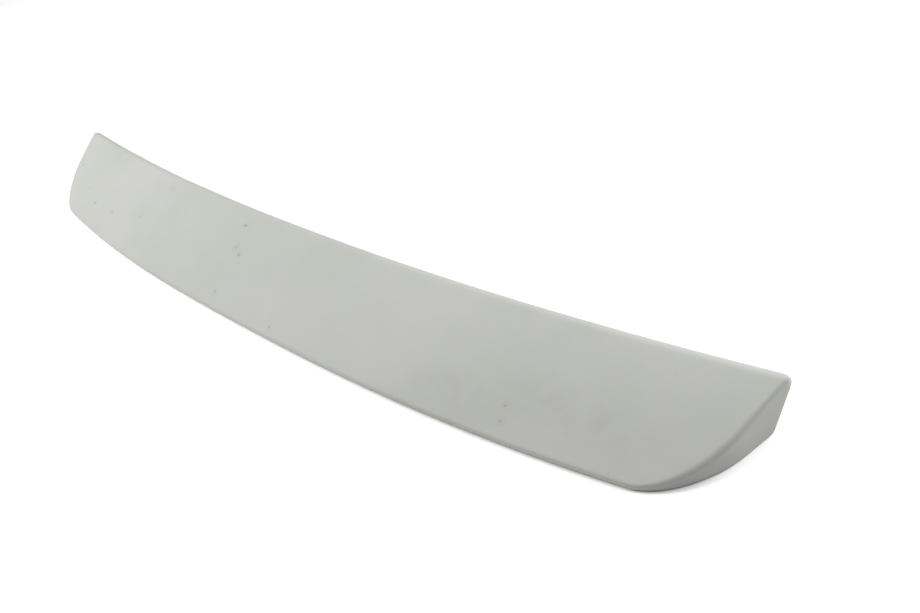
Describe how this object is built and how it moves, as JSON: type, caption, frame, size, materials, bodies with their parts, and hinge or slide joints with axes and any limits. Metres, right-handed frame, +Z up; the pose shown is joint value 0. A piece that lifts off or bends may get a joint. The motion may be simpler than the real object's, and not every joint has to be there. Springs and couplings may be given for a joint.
{
  "type": "car spoiler",
  "caption": "One-piece hollow bonded spoiler for a car's rear: wedge section, thin leading edge, rounded overhanging lip, swept-back closed ends and a flat open underside.",
  "frame": {"origin": "centre of the bounding box, on the plane of the flat underside that is bonded to the car", "axes": "+X along the span, +Y back from the leading edge to the lip, +Z up from the bonding face"},
  "size_m": [1.1234, 0.1564, 0.0508],
  "materials": {
    "grey_gelcoat": "matte light-grey gelcoat on a glass-fibre moulding, as it leaves the mould, with a few pinholes"
  },
  "bodies": {
    "root": {"spoiler_moulding": "grey_gelcoat"}
  },
  "joints": []
}
